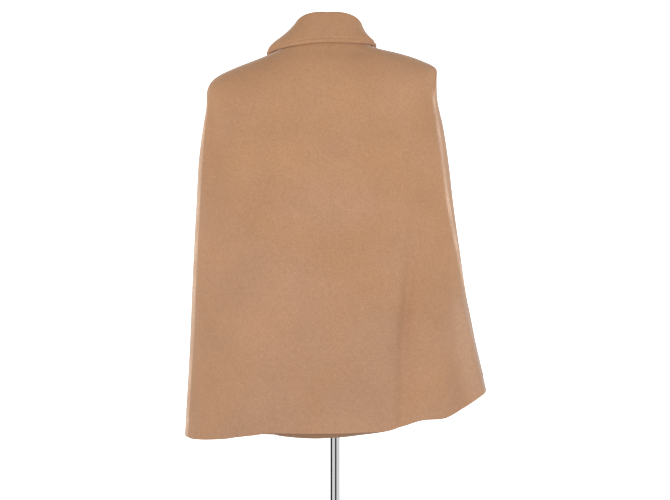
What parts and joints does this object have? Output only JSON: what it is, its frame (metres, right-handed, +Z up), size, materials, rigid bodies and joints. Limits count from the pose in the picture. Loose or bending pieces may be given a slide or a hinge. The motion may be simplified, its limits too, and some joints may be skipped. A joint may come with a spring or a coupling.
{
  "type": "wool cape on dress form stand",
  "caption": "Hip-length wool cape with a turned-down collar and a buttoned front, draped on a limbless dress form on a pole stand.",
  "frame": {"origin": "on the floor, at the middle of the base plate's underside and on the pole's axis", "axes": "+Z up the pole; -Y the way the cape's front faces, so its back faces +Y; -X the wearer's right hand side"},
  "size_m": [0.6325, 0.3999, 1.4491],
  "materials": {
    "wool": "matte",
    "horn": "satin",
    "jersey": "matte",
    "beech": "satin",
    "chrome": "polished"
  },
  "bodies": {
    "root": {"back": "wool", "front_right": "wool", "front_left": "wool", "collar": "wool", "button_1": "horn", "button_2": "horn", "button_3": "horn", "button_4": "horn", "form_torso": "jersey", "form_neck_cap": "beech", "pole_socket": "chrome", "pole": "chrome", "base_hub": "chrome", "base_plate": "chrome"}
  },
  "joints": []
}
